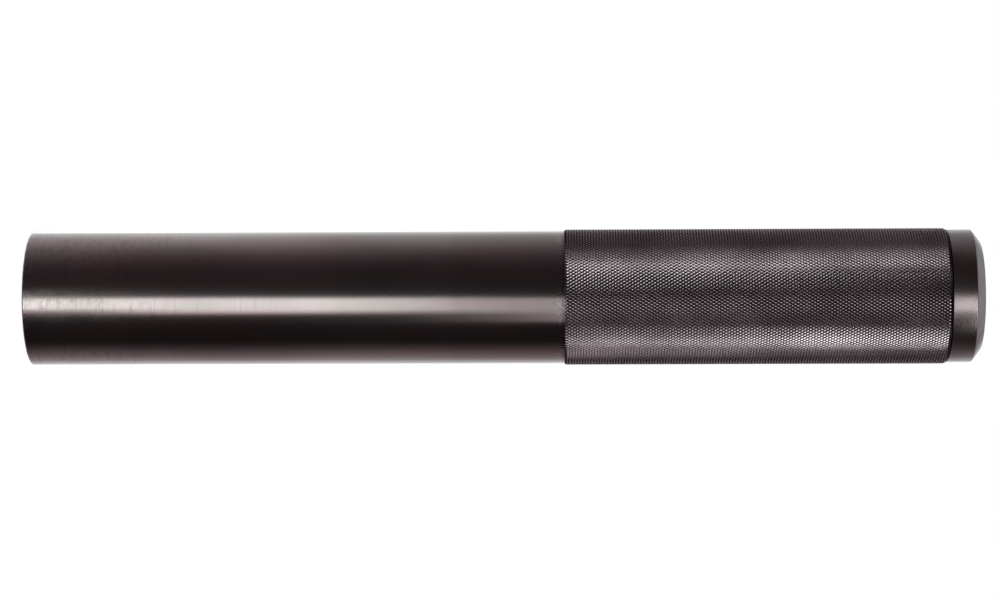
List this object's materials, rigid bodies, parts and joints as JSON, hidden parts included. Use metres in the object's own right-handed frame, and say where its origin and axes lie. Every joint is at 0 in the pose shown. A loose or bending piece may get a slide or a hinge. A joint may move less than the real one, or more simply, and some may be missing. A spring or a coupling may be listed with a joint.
{
  "type": "crown race setting tool",
  "caption": "Long burnished steel tube with a knurled grip and a chamfered striking cap, for driving a crown race onto a 1.5 inch fork.",
  "frame": {"origin": "centre of the working end's face, where the tube bears on the race and the tool stands", "axes": "+Z along the tube from the open working end to the striking cap; the tool is the same all round"},
  "size_m": [0.046, 0.046, 0.323],
  "materials": {
    "burnished_tube": "burnished black, satin sheen",
    "burnished_cap": "burnished black, matt sheen"
  },
  "bodies": {
    "root": {"tube": "burnished_tube", "striking_cap": "burnished_cap"}
  },
  "joints": []
}
